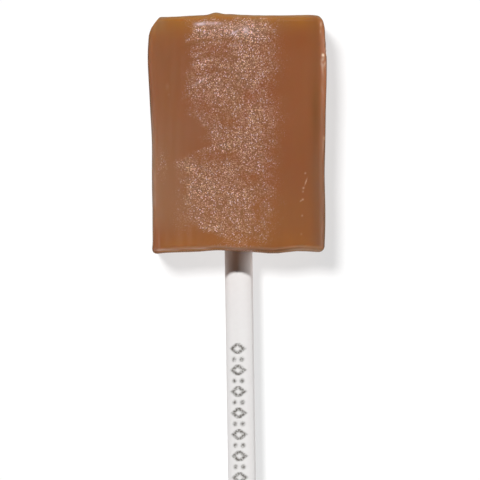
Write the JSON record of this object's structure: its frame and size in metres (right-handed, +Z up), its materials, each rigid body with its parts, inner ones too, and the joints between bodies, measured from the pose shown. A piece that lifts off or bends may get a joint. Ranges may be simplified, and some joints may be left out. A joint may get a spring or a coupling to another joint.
{
  "type": "caramel lollipop",
  "caption": "Caramel lollipop lying on its back: an upright rectangular block of pressed caramel, edges rounded and shown face slightly crowned, held on a white rolled paper stick.",
  "frame": {"origin": "middle of the part's box in plan, on the surface that the block's back lies on", "axes": "+Z up out of the block's shown face, +Y from the stick's free end towards the block, +X to the right of the shown face"},
  "size_m": [0.0276, 0.1102, 0.0145],
  "materials": {
    "caramel": "hard cooked caramel, slightly translucent, satin with a fine orange-peel grain on the shown face",
    "paper": "matt white rolled paper"
  },
  "bodies": {
    "root": {"candy": "caramel", "stick": "paper"}
  },
  "joints": []
}
